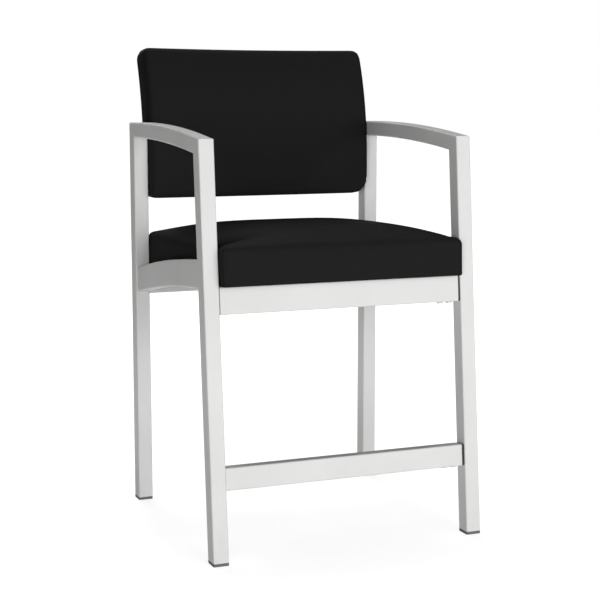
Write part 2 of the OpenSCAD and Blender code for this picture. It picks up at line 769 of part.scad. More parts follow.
color(zinc) {  // rail_screws
  in_leg_frame() rail_screw_pair(rail_len, rail_set, front_rail_up);
  rail_screw_pair(rail_len, rear_rail_y, rear_rail_z);
  in_leg_frame() rail_screw_pair(foot_rail_len, rail_set, foot_rail_up);
}
front_glide(-1);  // left_front_glide
front_glide(1);  // right_front_glide
rear_glide(-1);  // left_rear_glide
rear_glide(1);  // right_rear_glide
front_seat_tabs();
rear_seat_tabs();
seat_board();
seat_foam();
seat_cover();
seat_dust_cover();
color(zinc) at_seat_bolts()  // seat_bolts
  translate([0, 0, -tab_t]) bolt(tab_t + seat_board_t - 2 * soft_gap);
color(zinc) at_seat_bolts() insert_nut(seat_board_t);  // seat_insert_nuts
back_bracket(-1);  // left_back_bracket
back_bracket(1);  // right_back_bracket
back_board();
back_foam();
back_cover();
back_rear_panel();
color(zinc) at_back_bolts()  // back_bolts
  bolt(bracket_t + back_board_t - 4 * soft_gap);
color(zinc) at_back_bolts()  // back_insert_nuts
  translate([0, 0, bracket_t]) insert_nut(back_board_t - 2 * soft_gap);
panel_clips();
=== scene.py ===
# Hip chair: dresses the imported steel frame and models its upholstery.
# Metres, in the frame's own axes: +X right, -Y front, +Z up, floor at zero.
import json
import math
import bmesh
import bpy
from mathutils import Matrix, Vector, noise


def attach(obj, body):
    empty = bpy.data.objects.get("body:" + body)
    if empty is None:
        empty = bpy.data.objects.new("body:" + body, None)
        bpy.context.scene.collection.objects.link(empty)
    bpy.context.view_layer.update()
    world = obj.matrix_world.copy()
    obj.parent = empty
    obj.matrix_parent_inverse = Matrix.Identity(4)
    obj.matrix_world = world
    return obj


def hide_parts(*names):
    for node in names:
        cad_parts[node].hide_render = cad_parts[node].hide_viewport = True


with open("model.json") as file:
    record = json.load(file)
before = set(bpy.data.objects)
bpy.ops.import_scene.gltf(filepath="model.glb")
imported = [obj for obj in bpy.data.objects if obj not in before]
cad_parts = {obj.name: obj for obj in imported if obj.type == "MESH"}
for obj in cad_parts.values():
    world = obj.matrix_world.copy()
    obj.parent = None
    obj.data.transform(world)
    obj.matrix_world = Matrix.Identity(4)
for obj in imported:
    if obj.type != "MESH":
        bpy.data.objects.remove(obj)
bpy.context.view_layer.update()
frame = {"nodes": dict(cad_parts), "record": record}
scene = bpy.context.scene
mm = 0.001
print("frame loaded:", len(frame["nodes"]), "nodes")

# Sizes that the pieces share with the frame
chair = {
    "frontY": -304.886 * mm,   # front face of the front legs at the floor
    "postFrontY": 206.114 * mm,
    "innerHalf": 260.25 * mm,  # from the middle to a leg's inner face
    "rake": math.radians(5),   # backward lean of the front legs
    "legDepth": 35 * mm,
}
seat = {
    "half": 259.4 * mm,
    "frontY": -277.008 * mm,
    "baseZ": 536.759 * mm,
    "length": 503.371 * mm,
    "tilt": math.radians(1.8),
    "edgeHeight": 76.6 * mm,   # up to where the top rounds over
    "crown": 26.8 * mm,
    "wedge": 5.1 * mm,         # the back of the pad is thicker by this
    "fullness": (3.8, 3.8),    # how squarely the crown fills the pad, across and along
    "edgeRadius": 21 * mm,
    "baseRadius": 3 * mm,
    "cornerRadius": 9 * mm,
    "drawIn": 0.5 * mm,        # how far the sides lean in at the base
    "lip": 22 * mm,            # turned edge of the vinyl under the board
    "lipFade": 3 * mm,
    "lipStep": 0.9 * mm,       # and how far it stands below the board
    "underside": 6 * mm,       # points lower than this belong to the underside
    "voxel": 6 * mm,
    "puff": 4.5 * mm,          # most that the cloth may move a point
    "relax": 4,                # passes that even out the cloth's moves
    "pressure": 0.5,
    "held": (2 * mm, 14 * mm),   # the cloth is held below, and free above
    "slack": 0.6 * mm,         # the pad starts smaller by this and swells
    "widest": 259.8 * mm,      # the legs stop it there
    "rim": 10 * mm,            # reach of the turned lower edge, which stays square
}
back = {
    "half": 258.8 * mm,
    "baseZ": 678.5 * mm,
    "height": 322 * mm,
    "drop": 1.4 * mm,          # the lower edge hangs this far under the board
    "ears": 3.2 * mm,          # the top corners stand this far above the top's middle
    "earsBelow": 0.15,         # share of that by which the middle is lower than the height says
    "rearY": 255.614 * mm,     # rear face of the rear panel at its foot
    "thickness": 74 * mm,
    "panel": 14 * mm,          # thickness of the rear panel
    "panelGap": 0.3 * mm,
    "straight": 82 * mm,       # upright stretch at the foot
    "curveRadius": 590 * mm,
    # radii of the cushion's corners at its front and at its rear, and of the rear panel's
    "corners": {"topLeft": (14 * mm, 24 * mm), "topRight": (17 * mm, 24 * mm),
                "bottomLeft": (9 * mm, 9 * mm), "bottomRight": (36 * mm, 22 * mm)},
    "panelCorners": {"topLeft": 28 * mm, "topRight": 28 * mm,
                     "bottomLeft": 9 * mm, "bottomRight": 24 * mm},
    "cornerBlend": (0.1, 0.8),  # shares of the depth between which the front's corners take over
    "cornerRadius": 24 * mm,   # the turned edge's, at the rim
    "edgeRadius": 9 * mm,
    "baseRadius": 3 * mm,
    "crown": 3.5 * mm,
    "fullness": (2, 3),
    "drawIn": 0.4 * mm,
    "voxel": 5.5 * mm,
    "puff": 3.5 * mm,
    "relax": 4,
    "pressure": 0.5,
    "held": (2 * mm, 12 * mm),
    "rim": 7 * mm,
}


# Camera: the photograph's own viewpoint
view = {
    "place": (-1160.37 * mm, -2840.03 * mm, 891.72 * mm),
    "pitch": math.radians(90 - 7.928),
    "yaw": math.radians(-22.447),
    "lens": 86.585,
    "sensor": 36,
}
eye = bpy.data.cameras.new("eye")
eye.lens = view["lens"]
eye.sensor_width = view["sensor"]
eye.clip_end = 100
camera = bpy.data.objects.new("camera", eye)
camera.location = view["place"]
camera.rotation_euler = (view["pitch"], 0, view["yaw"])
scene.collection.objects.link(camera)
scene.camera = camera
scene.view_settings.view_transform = "Standard"
print("camera placed")


# Shader maths: a socket that adds its own nodes when it is used in a sum
class Value:
    def __init__(self, paint, socket):
        self.paint = paint
        self.socket = socket

    def maths(self, operation, *others):
        return self.paint.node("Math", {"operation": operation}, dict(enumerate((self, *others))))

    def __add__(self, other):
        return self.maths("ADD", other)

    def __radd__(self, other):
        return self.maths("ADD", other)

    def __sub__(self, other):
        return self.maths("SUBTRACT", other)

    def __rsub__(self, other):
        return self.paint.node("Math", {"operation": "SUBTRACT"}, {0: other, 1: self})

    def __mul__(self, other):
        return self.maths("MULTIPLY", other)

    def __rmul__(self, other):
        return self.maths("MULTIPLY", other)

    def ramp(self, low, high):
        return self.paint.node("MapRange", {"interpolation_type": "SMOOTHSTEP"},
                               {"Value": self, "From Min": low, "From Max": high})


class Paint:
    def __init__(self, name, world=False):
        owner = bpy.data.worlds.new(name) if world else bpy.data.materials.new(name)
        owner.use_nodes = True
        self.owner = owner
        self.world = world
        self.tree = owner.node_tree
        self.tree.nodes.clear()
        self.place = None if world else self.node("TexCoord", output="Object")

    def node(self, kind, settings=None, sockets=None, output=0):
        made = self.tree.nodes.new("ShaderNode" + kind)
        for key, value in (settings or {}).items():
            setattr(made, key, value)
        for key, value in (sockets or {}).items():
            if isinstance(value, Value):
                self.tree.links.new(value.socket, made.inputs[key])
            else:
                made.inputs[key].default_value = value
        return Value(self, made.outputs[output])

    def noise(self, scale, detail=3, roughness=0.55, stretch=None):
        place = self.place
        if stretch:
            place = self.node("Mapping", None, {"Vector": place, "Scale": stretch})
        return self.node("TexNoise", None, {"Vector": place, "Scale": scale, "Detail": detail,
                                            "Roughness": roughness})

    def cells(self, scale):
        return self.node("TexVoronoi", {"feature": "F1"}, {"Vector": self.place, "Scale": scale},
                         output="Distance")

    def mix(self, amount, first, second):
        return self.node("Mix", {"data_type": "RGBA"}, {0: amount, 6: first, 7: second}, output=2)

    def bump(self, height, distance, strength=1, under=None):
        sockets = {"Height": height, "Distance": distance, "Strength": strength}
        if under:
            sockets["Normal"] = under
        return self.node("Bump", None, sockets)

    def surface(self, colour, roughness, normal=None, shadow=None, **fixed):
        # The shadow is how much painted shade, a matt near-black, is mixed in where the surface lies in
        # a crease
        sockets = {"Base Color": colour, "Roughness": roughness}
        if normal:
            sockets["Normal"] = normal
        sockets.update({key.replace("_", " "): value for key, value in fixed.items()})
        shader = self.node("BsdfPrincipled", None, sockets)
        if shadow:
            dark = self.node("BsdfDiffuse", None, {"Color": grey(0.002)})
            shader = self.node("MixShader", None, {0: shadow, 1: shader, 2: dark})
        self.end(shader)
        return self.owner

    def end(self, shader):
        last = self.tree.nodes.new("ShaderNodeOutputWorld" if self.world else "ShaderNodeOutputMaterial")
        self.tree.links.new(shader.socket, last.inputs["Surface"])


def grey(level, warm=0.0):
    return (level, level, level * (1 - warm), 1)


def powderCoat():
    look = {
        "light": grey(0.765, 0.01),
        "dark": grey(0.71, 0.012),
        "cloud": (7, 0.6),             # scale and strength of the slow shading
        "dust": grey(0.52, 0.05),      # low on the legs
        "dustTop": 100 * mm,
        "dustFilm": (60, 0.18),
        "peel": (620, 0.05 * mm),      # scale and height of the paint's fine texture
        "roughness": (0.42, 0.12),     # the least, and what spots add to it
        "spots": 45,
        "specular": 0.35,
        # Painted shade: a thin dark line stands for the seam's shadow where the front rail meets the
        # left leg
        "joint": grey(0.08, 0.02),     # the dark line where the front rail meets the left leg
        "jointX": -259.8 * mm,
        "jointHalf": (0.4 * mm, 0.8 * mm),
        "jointZ": (480 * mm, 538 * mm),
        "jointFade": 3 * mm,
        "jointRearY": (-220 * mm, -200 * mm),
    }
    paint = Paint("powderCoat")
    cloudScale, cloudStrength = look["cloud"]
    cloud = paint.noise(cloudScale, 2).ramp(0.3, 0.75)
    colour = paint.mix(cloud * cloudStrength, look["light"], look["dark"])
    across, along, height = (paint.node("SeparateXYZ", None, {0: paint.place}, output=axis)
                             for axis in "XYZ")
    filmScale, filmStrength = look["dustFilm"]
    film = (1 - height.ramp(0, look["dustTop"])) * paint.noise(filmScale, 4).ramp(0.45, 0.75)
    colour = paint.mix(film * filmStrength, colour, look["dust"])
    # Painted seam shadow, kept to the front rail's left end between its underside and top
    jointLow, jointHigh = look["jointZ"]
    joint = 1 - (across - look["jointX"]).maths("ABSOLUTE").ramp(*look["jointHalf"])
    joint = joint * height.ramp(jointLow, jointLow + look["jointFade"])
    joint = joint * (1 - height.ramp(jointHigh - look["jointFade"], jointHigh))
    joint = joint * (1 - along.ramp(*look["jointRearY"]))
    colour = paint.mix(joint, colour, look["joint"])
    peelScale, peelHeight = look["peel"]
    peel = paint.bump(paint.noise(peelScale, 2), peelHeight)
    roughness, rougher = look["roughness"]
    return paint.surface(colour, roughness + paint.noise(look["spots"], 3) * rougher, peel,
                         Specular_IOR_Level=look["specular"])


def blackVinyl():
    look = {
        "face": grey(0.0152),
        "deep": grey(0.0107),          # between the pebbles of the grain
        "pebble": 780,                 # scales of the grain's pebbles, and of the pores on them
        "pore": 1500,
        "pebbleHeight": 0.12 * mm,
        "soft": (14, 0.8 * mm, 0.25),  # scale, height and strength of the padding's slow unevenness
        "roughness": (0.6, 0.08, 0.06),  # the least, and what wear and the grain add to it
        "wear": 90,
        "specular": 0.05,
    }
    paint = Paint("blackVinyl")
    pebbles = paint.node("TexVoronoi", {"feature": "SMOOTH_F1"},
                         {"Vector": paint.place, "Scale": look["pebble"], "Smoothness": 0.6},
                         output="Distance")
    grain = pebbles * 0.7 + paint.noise(look["pore"], 3) * 0.3
    colour = paint.mix(grain.ramp(0.25, 0.7), look["deep"], look["face"])
    softScale, softHeight, softStrength = look["soft"]
    soft = paint.bump(paint.noise(softScale, 2), softHeight, softStrength)
    normal = paint.bump(grain, look["pebbleHeight"], 0.7, soft)
    roughness, worn, rough = look["roughness"]
    roughness = roughness + paint.noise(look["wear"], 3) * worn + pebbles * rough
    # The crease attribute mixes painted shade into the vinyl along the seat's tucks
    return paint.surface(colour, roughness, normal,
                         paint.node("Attribute", {"attribute_name": "crease"}, output="Fac"),
                         Specular_IOR_Level=look["specular"])


def steel(name, level, roughness, brush, metallic=0.92):
    look = {"streak": 160, "streakHeight": 0.03 * mm, "dark": 0.86, "warm": 0.01, "rougher": 0.16}
    paint = Paint(name)
    streak = paint.noise(look["streak"], 3, stretch=brush)
    colour = paint.mix(streak, grey(level * look["dark"], look["warm"]), grey(level, look["warm"]))
    return paint.surface(colour, roughness + streak * look["rougher"],
                         paint.bump(streak, look["streakHeight"]), Metallic=metallic)


def moulded(name, level, grain, roughness=0.48):
    look = {"cloud": 35, "dark": 0.85, "light": 1.12, "grainHeight": 0.06 * mm, "rougher": 0.12}
    paint = Paint(name)
    spark = paint.noise(grain, 2)
    cloud = paint.noise(look["cloud"], 3)
    colour = paint.mix(cloud, grey(level * look["dark"]), grey(level * look["light"]))
    return paint.surface(colour, roughness + spark * look["rougher"],
                         paint.bump(spark, look["grainHeight"]))


def birchPly():
    look = {
        "early": (0.62, 0.44, 0.26, 1),
        "late": (0.76, 0.6, 0.4, 1),
        "fleck": (0.42, 0.28, 0.16, 1),
        "fleckStrength": 0.4,
        "grain": (9, (1.5, 14, 60)),   # scale, and how the sheet's grain runs
        "fine": (90, (1, 12, 40)),
        "fineHeight": 0.08 * mm,
        "roughness": (0.62, 0.12),
    }
    paint = Paint("birchPly")
    (grainScale, grainRun), (fineScale, fineRun) = look["grain"], look["fine"]
    grain = paint.noise(grainScale, 5, stretch=grainRun)
    fine = paint.noise(fineScale, 4, stretch=fineRun)
    colour = paint.mix(grain.ramp(0.3, 0.7), look["early"], look["late"])
    colour = paint.mix(fine * look["fleckStrength"], colour, look["fleck"])
    roughness, rougher = look["roughness"]
    return paint.surface(colour, roughness + fine * rougher, paint.bump(fine, look["fineHeight"]))


def dustWeb():
    look = {
        "deep": grey(0.008),
        "face": grey(0.03),
        "fibre": 900,
        "dimple": 520,
        "height": 0.12 * mm,
        "roughness": (0.86, 0.1),
    }
    paint = Paint("dustWeb")
    fibre = paint.noise(look["fibre"], 5, 0.7)
    web = fibre * 0.6 + paint.cells(look["dimple"]) * 0.4
    roughness, rougher = look["roughness"]
    return paint.surface(paint.mix(fibre, look["deep"], look["face"]), roughness + fibre * rougher,
                         paint.bump(web, look["height"]))


def softFoam():
    look = {
        "hollow": (0.5, 0.43, 0.26, 1),
        "wall": (0.78, 0.72, 0.52, 1),
        "cell": 900,
        "cellHeight": 0.3 * mm,
        "roughness": (0.9, 0.08),
    }
    paint = Paint("softFoam")
    cells = paint.cells(look["cell"])
    colour = paint.mix(cells.ramp(0.1, 0.7), look["hollow"], look["wall"])
    roughness, rougher = look["roughness"]
    return paint.surface(colour, roughness + cells * rougher, paint.bump(cells, look["cellHeight"]))


finishes = {
    "frame_paint": powderCoat(),
    "vinyl": blackVinyl(),
    "zinc_steel": steel("zincPlate", 0.72, 0.42, (1, 1, 1), 0.65),
    "bare_steel": steel("bareSteel", 0.5, 0.34, (0.2, 3, 3)),
    "black_plastic": moulded("blackPlastic", 0.012, 900, 0.52),
    "grey_plastic": moulded("greyPlastic", 0.125, 800, 0.5),
    "plywood": birchPly(),
    "dust_cloth": dustWeb(),
    "foam": softFoam(),
}
slotOfNode = {part["node"]: part["material_slot"] for part in frame["record"]["subparts"]}
for nodeName, nodeObject in frame["nodes"].items():
    nodeObject.data.materials.clear()
    nodeObject.data.materials.append(finishes[slotOfNode[nodeName]])
print("finishes made:", len(finishes))


# Helpers that turn a bmesh into a finished piece
def pieceFrom(name, shape):
    mesh = bpy.data.meshes.new(name)
    shape.to_mesh(mesh)
    shape.free()
    piece = bpy.data.objects.new(name, mesh)
    scene.collection.objects.link(piece)
    return piece


def dress(piece, slot, sharpAngle=None):
    piece.data.materials.clear()
    piece.data.materials.append(finishes[slot])
    for face in piece.data.polygons:
        face.use_smooth = True
    if sharpAngle:
        piece.data.set_sharp_from_angle(angle=math.radians(sharpAngle))
    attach(piece, "root")
    return piece


def finishPiece(name, shape, slot, sharpAngle=None):
    return dress(pieceFrom(name, shape), slot, sharpAngle)


def settled(piece):
    # The piece's mesh with its modifiers applied, and none left on it
    graph = bpy.context.evaluated_depsgraph_get()
    mesh = bpy.data.meshes.new_from_object(piece.evaluated_get(graph))
    old = piece.data
    piece.modifiers.clear()
    piece.data = mesh
    bpy.data.meshes.remove(old)
    return piece


def roundedBlock(size, cornerRadius, topRadius, bottomRadius, cornerSteps=6, edgeSteps=5):
    # A block centred in X and Y on the base plane, with upright corners and both rims rounded.
    # The corner radius is one number, or one for each corner by its name
    shape = bmesh.new()
    bmesh.ops.create_cube(shape, size=1)
    bmesh.ops.scale(shape, vec=size, verts=shape.verts)
    bmesh.ops.translate(shape, vec=(0, 0, size[2] / 2), verts=shape.verts)

    def roundOver(edges, radius, steps):
        bmesh.ops.bevel(shape, geom=edges, offset=radius, offset_type="OFFSET", segments=steps,
                        profile=0.5, affect="EDGES", material=-1, clamp_overlap=True)

    def atCorner(place, sideX, sideY):
        return place.x * sideX > size[0] * 0.49 and place.y * sideY > size[1] * 0.49

    corners = {"topLeft": (-1, 1), "topRight": (1, 1), "bottomLeft": (-1, -1), "bottomRight": (1, -1)}
    for name, sides in corners.items():
        upright = [e for e in shape.edges if all(atCorner(v.co, *sides) for v in e.verts)]
        radius = cornerRadius[name] if isinstance(cornerRadius, dict) else cornerRadius
        roundOver(upright, radius, cornerSteps)
    for level, radius, steps in ((size[2], topRadius, edgeSteps), (0, bottomRadius, 2)):
        rim = [e for e in shape.edges if all(abs(v.co.z - level) < 1e-6 for v in e.verts)]
        roundOver(rim, radius, steps)
    return shape


def cutAlong(shape, axis, place):
    # Adds a line of edges right across a shape
    point, normal = [0, 0, 0], [0, 0, 0]
    point[axis], normal[axis] = place, 1
    bmesh.ops.bisect_plane(shape, geom=shape.verts[:] + shape.edges[:] + shape.faces[:],
                           plane_co=point, plane_no=normal, dist=1e-7)


def swell(pad, x, y, halfX, halfY):
    # 1 in the middle of a pad, 0 at its edges
    powerX, powerY = pad["fullness"]
    return max(0, 1 - abs(x / halfX) ** powerX) * max(0, 1 - abs(y / halfY) ** powerY)


def smoothStep(low, high, value):
    share = min(1, max(0, (value - low) / (high - low)))
    return share * share * (3 - 2 * share)


def fromEdge(x, y, halfX, halfY, corner):
    # How far inside a rounded rectangle a point is, and the way out of it
    outX, outY = max(0, abs(x) - halfX + corner), max(0, abs(y) - halfY + corner)
    if outX and outY:
        reach = math.hypot(outX, outY)
        return corner - reach, Vector((math.copysign(outX, x), math.copysign(outY, y))) / reach
    if halfX - abs(x) < halfY - abs(y):
        return halfX - abs(x), Vector((math.copysign(1, x), 0))
    return halfY - abs(y), Vector((0, math.copysign(1, y)))


def squareRim(point, pad, halfX, halfY):
    # Draws the rounded lower edge out to a tight turned edge
    reach = pad["rim"]
    inside, way = fromEdge(point.x, point.y, halfX - pad["drawIn"], halfY - pad["drawIn"],
                           pad["cornerRadius"])
    if inside < reach and point.z < reach:
        a, b = max(0, 1 - inside / reach), max(0, 1 - point.z / reach)
        longest = (a ** 8 + b ** 8) ** (1 / 8)
        growth = (max(1, 1 / longest) - 1) * min(1, 4 * min(a, b)) * reach if longest else 0
        point.x += way.x * a * growth
        point.y += way.y * a * growth
        point.z -= b * growth
    return inside


# The cover's vinyl as cloth
vinylCloth = {
    "quality": 4,
    "mass": 0.5,
    "tension": 40,
    "compression": 40,
    "shear": 20,
    "bending": 10,
    "steps": 20,               # frames in which it swells
}


def puffed(piece, pad):
    # Swells a closed shell with cloth pressure. No point may move more than the pad's cap
    starts = [v.co.copy() for v in piece.data.vertices]
    joined = [list(pair.vertices) for pair in piece.data.edges]
    group = piece.vertex_groups.new(name="held")
    for vertex in piece.data.vertices:
        weight = 1 - smoothStep(*pad["held"], vertex.co.z)
        if weight > 0:
            group.add([vertex.index], weight, "REPLACE")
    cloth = piece.modifiers.new("puff", "CLOTH")
    cloth.settings.quality = vinylCloth["quality"]
    cloth.settings.mass = vinylCloth["mass"]
    cloth.settings.tension_stiffness = vinylCloth["tension"]
    cloth.settings.compression_stiffness = vinylCloth["compression"]
    cloth.settings.shear_stiffness = vinylCloth["shear"]
    cloth.settings.bending_stiffness = vinylCloth["bending"]
    cloth.settings.vertex_group_mass = "held"
    cloth.settings.use_pressure = True
    cloth.settings.uniform_pressure_force = pad["pressure"]
    cloth.settings.effector_weights.gravity = 0
    cloth.point_cache.frame_end = vinylCloth["steps"]
    for step in range(1, vinylCloth["steps"] + 1):
        scene.frame_set(step)
    swollen = piece.evaluated_get(bpy.context.evaluated_depsgraph_get())
    ends = [v.co.copy() for v in swollen.data.vertices]
    piece.modifiers.clear()
    piece.vertex_groups.clear()
    moves = [end - start for start, end in zip(starts, ends)]
    for _ in range(pad["relax"]):
        sums, counts = [move.copy() for move in moves], [1] * len(moves)
        for first, second in joined:
            sums[first] += moves[second]
            sums[second] += moves[first]
            counts[first] += 1
            counts[second] += 1
        moves = [total / count for total, count in zip(sums, counts)]
    print("puffed", piece.name, "mean", round(sum(m.length for m in moves) / len(moves) / mm, 2),
          "most", round(max(m.length for m in moves) / mm, 2), "mm")
    for vertex, start, move in zip(piece.data.vertices, starts, moves):
        if move.length > pad["puff"]:
            move *= pad["puff"] / move.length
        vertex.co = start + move
    scene.frame_set(1)
    return piece


def padFrom(name, shape, pad, shapeUp):
    # Block to even mesh, to its stuffed form, to a finer mesh
    piece = pieceFrom(name, shape)
    remesh = piece.modifiers.new("even", "REMESH")
    remesh.mode = "VOXEL"
    remesh.voxel_size = pad["voxel"]
    settled(piece)
    for vertex in piece.data.vertices:
        vertex.co = shapeUp(vertex.co)
    puffed(piece, pad)
    finer = piece.modifiers.new("finer", "SUBSURF")
    finer.levels = finer.render_levels = 1
    return settled(piece)


# Seat cushion, in the seat's own frame: X across, Y back from the front edge, Z up from the base
def seatToChair(point):
    c, s = math.cos(seat["tilt"]), math.sin(seat["tilt"])
    return Vector((point.x, seat["frontY"] + point.y * c + point.z * s,
                   seat["baseZ"] - point.y * s + point.z * c))


def seatForm(point):
    halfX, halfY = seat["half"], seat["length"] / 2
    rise = point.z / seat["edgeHeight"]
    point.z += rise * (seat["crown"] * swell(seat, point.x, point.y, halfX, halfY)
                       + seat["wedge"] * (point.y / seat["length"] + 0.5))
    wall = 1 - min(1, max(0, point.z) / (seat["edgeHeight"] - seat["edgeRadius"]))
    point.x *= 1 - (seat["drawIn"] - seat["slack"]) * wall ** 2 / halfX
    point.y *= 1 - (seat["drawIn"] - seat["slack"]) * wall ** 2 / halfY
    return point


seatBlock = roundedBlock((2 * (seat["half"] - seat["slack"]), seat["length"] - 2 * seat["slack"],
                          seat["edgeHeight"] - seat["slack"]),
                         seat["cornerRadius"], seat["edgeRadius"], seat["baseRadius"])
seatCushion = padFrom("seatCushion", seatBlock, seat, seatForm)
# Start and end of each soft tuck on the seat's top, in mm from its middle, its depth in mm, and the
# strength of the painted shade in its crease
folds = [
    ((-262, -216), (-138, -182), 2.4, 0.95),
    ((262, -226), (160, -195), 4, 0.1),
    ((-256, 222), (-190, 160), 3, 0.2),
    ((256, 222), (190, 160), 3, 0.2),
]
tuck = {
    "steep": 5 * mm,              # width of the steep side, at the edge of the seat
    "widening": 1.4,              # share by which it is wider at a tuck's end
    "reach": 13 * mm,             # width of the gentle side
    "reachPower": 1.5,
    "shade": (8 * mm, 38 * mm),   # widths of the dark on the steep and on the gentle side
    "fadePower": 1.3,             # how fast a tuck dies away towards its end
    "lead": 0.3,                  # share of its length that a tuck runs on past its start
    "above": (30 * mm, 70 * mm),  # the tucks fade out between these heights, down the pad's side
    "shadeAbove": (30 * mm, 60 * mm),
}


def foldShape(x, y):
    # How deep the tucks are at a point, and how much painted shade lies in them: steep on the outer
    # side, gentle behind
    depth = shade = 0
    for (x1, y1), (x2, y2), deep, dark in folds:
        start, run = Vector((x1, y1)) * mm, Vector((x2 - x1, y2 - y1)) * mm
        away = Vector((x, y)) - start
        along = away.dot(run) / run.length_squared
        if -tuck["lead"] < along < 1:
            side = abs(run.x * away.y - run.y * away.x) / run.length
            fade = (1 - max(0, along)) ** tuck["fadePower"] * smoothStep(-tuck["lead"], 0, along)
            steep = tuck["steep"] * (1 + tuck["widening"] * max(0, along))
            if away.y * y1 > run.y * along * y1:
                shape, blur = math.exp(-(side / steep) ** 2), tuck["shade"][0]
            else:
                shape, blur = math.exp(-(side / tuck["reach"]) ** tuck["reachPower"]), tuck["shade"][1]
            depth += deep * mm * fade * shape
            shade = max(shade, dark * fade * math.exp(-(side / blur) ** 2))
    return depth, shade


# Painted shade along the tucks, kept in the crease attribute and faded out down the pad's side
creaseShades = []
for vertex in seatCushion.data.vertices:
    spot = vertex.co
    depth, shade = foldShape(spot.x, spot.y)
    creaseShades.append(shade * smoothStep(*tuck["shadeAbove"], spot.z))
    spot.z -= depth * smoothStep(*tuck["above"], spot.z)
    edge = squareRim(spot, seat, seat["half"], seat["length"] / 2)
    if spot.z < seat["underside"]:  # inside the turned edge, it steps up to the board
        within = smoothStep(seat["lip"] - seat["lipFade"], seat["lip"] + seat["lipFade"], edge)
        spot.z += seat["lipStep"] * within
    spot.y += seat["length"] / 2
    spot.x = math.copysign(min(abs(spot.x), seat["widest"]), spot.x)
    vertex.co = seatToChair(spot)
seatCushion.data.attributes.new("crease", "FLOAT", "POINT").data.foreach_set("value", creaseShades)
dress(seatCushion, "vinyl")
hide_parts("seat_cover", "seat_foam")
print("seat cushion:", len(seatCushion.data.polygons), "faces")


# Back cushion, in the back's own frame: X across, Y up from the foot, Z forwards from the rear face
def lean(height):
    over = max(0, height - back["straight"])
    return back["curveRadius"] - math.sqrt(back["curveRadius"] ** 2 - over ** 2)


def backToChair(point):
    return Vector((point.x, back["rearY"] + lean(point.y) - point.z, back["baseZ"] + point.y))


def drawCorner(point, share):
    # Draws a corner of the pad in to the rounder radius of its front or its rear
    corner = ("bottom", "top")[point.y > 0] + ("Left", "Right")[point.x > 0]
    front, rear = back["corners"][corner]
    wide, tight = max(front, rear), min(front, rear)
    share = share if front > rear else 1 - share
    outX, outY = abs(point.x) - back["half"] + wide, abs(point.y) - back["height"] / 2 + wide
    if share <= 0 or tight >= wide or outX <= 0 or outY <= 0:
        return
    reach, middle = math.hypot(outX, outY), wide - tight
    slant = (outX + outY) / reach * middle
    tightRim = slant + math.sqrt(max(0, slant ** 2 - 2 * middle ** 2 + tight ** 2))
    pull = (1 - wide / min(wide / max(outX, outY) * reach, tightRim)) * share
    point.x -= math.copysign(outX * pull, point.x)
    point.y -= math.copysign(outY * pull, point.y)


def backOutline(point):
    # The drooping lower edge, and the corners that stand up
    halfX, halfY = back["half"], back["height"] / 2
    if point.y > 0:
        bow = min(1, abs(point.x) / halfX) ** 2
        point.y += point.y / halfY * back["ears"] * (bow - back["earsBelow"])
    else:
        point.y *= 1 + back["drop"] / halfY


def backForm(point):
    halfX, halfY = back["half"], back["height"] / 2
    depth = back["thickness"] - back["panel"]
    point.z += point.z / depth * back["crown"] * swell(back, point.x, point.y, halfX, halfY)
    wall = 1 - min(1, max(0, point.z) / (depth - back["edgeRadius"]))
    point.x *= 1 - back["drawIn"] * wall ** 2 / halfX
    point.y *= 1 - back["drawIn"] * wall ** 2 / halfY
    drawCorner(point, smoothStep(*back["cornerBlend"], point.z / depth))
    return point


backBlock = roundedBlock((2 * back["half"], back["height"], back["thickness"] - back["panel"]),
                         {name: min(pair) for name, pair in back["corners"].items()},
                         back["edgeRadius"], back["baseRadius"], cornerSteps=8)
backCushion = padFrom("backCushion", backBlock, back, backForm)
for vertex in backCushion.data.vertices:
    spot = vertex.co
    squareRim(spot, back, back["half"], back["height"] / 2)
    backOutline(spot)
    spot = spot + Vector((0, back["height"] / 2, back["panel"] + back["panelGap"]))
    vertex.co = backToChair(spot)
dress(backCushion, "vinyl")
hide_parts("back_cover", "back_foam")
print("back cushion:", len(backCushion.data.polygons), "faces")


def paddedPanel():
    # Closes the back from behind
    panel = {
        "inset": 1 * mm,
        "topRadius": 5 * mm,
        "rimRadius": 0.6 * mm,
        "cell": 16 * mm,
        "thinner": 1.5 * mm,   # at its edges
        "sharp": 50,
    }
    halfX, halfY = back["half"], back["height"] / 2
    shape = roundedBlock((2 * (halfX - panel["inset"]), 2 * (halfY - panel["inset"]), back["panel"]),
                         back["panelCorners"], panel["topRadius"], panel["rimRadius"], cornerSteps=8)
    for axis, half in enumerate((halfX, halfY)):
        count = round(2 * half / panel["cell"])
        for cut in range(1, count):
            cutAlong(shape, axis, half * (2 * cut / count - 1))
    bmesh.ops.triangulate(shape, faces=[f for f in shape.faces if len(f.verts) > 4])
    for vertex in shape.verts:
        spot = vertex.co.copy()
        edging = 1 - swell(back, spot.x, spot.y, halfX, halfY)
        spot.z -= panel["thinner"] * edging * spot.z / back["panel"]
        backOutline(spot)
        vertex.co = backToChair(Vector((spot.x, spot.y + halfY, back["panel"] - spot.z)))
    piece = finishPiece("rearPanel", shape, "vinyl", panel["sharp"])
    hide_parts("back_rear_panel")
    return piece


rearPanel = paddedPanel()
print("rear panel:", len(rearPanel.data.polygons), "faces")


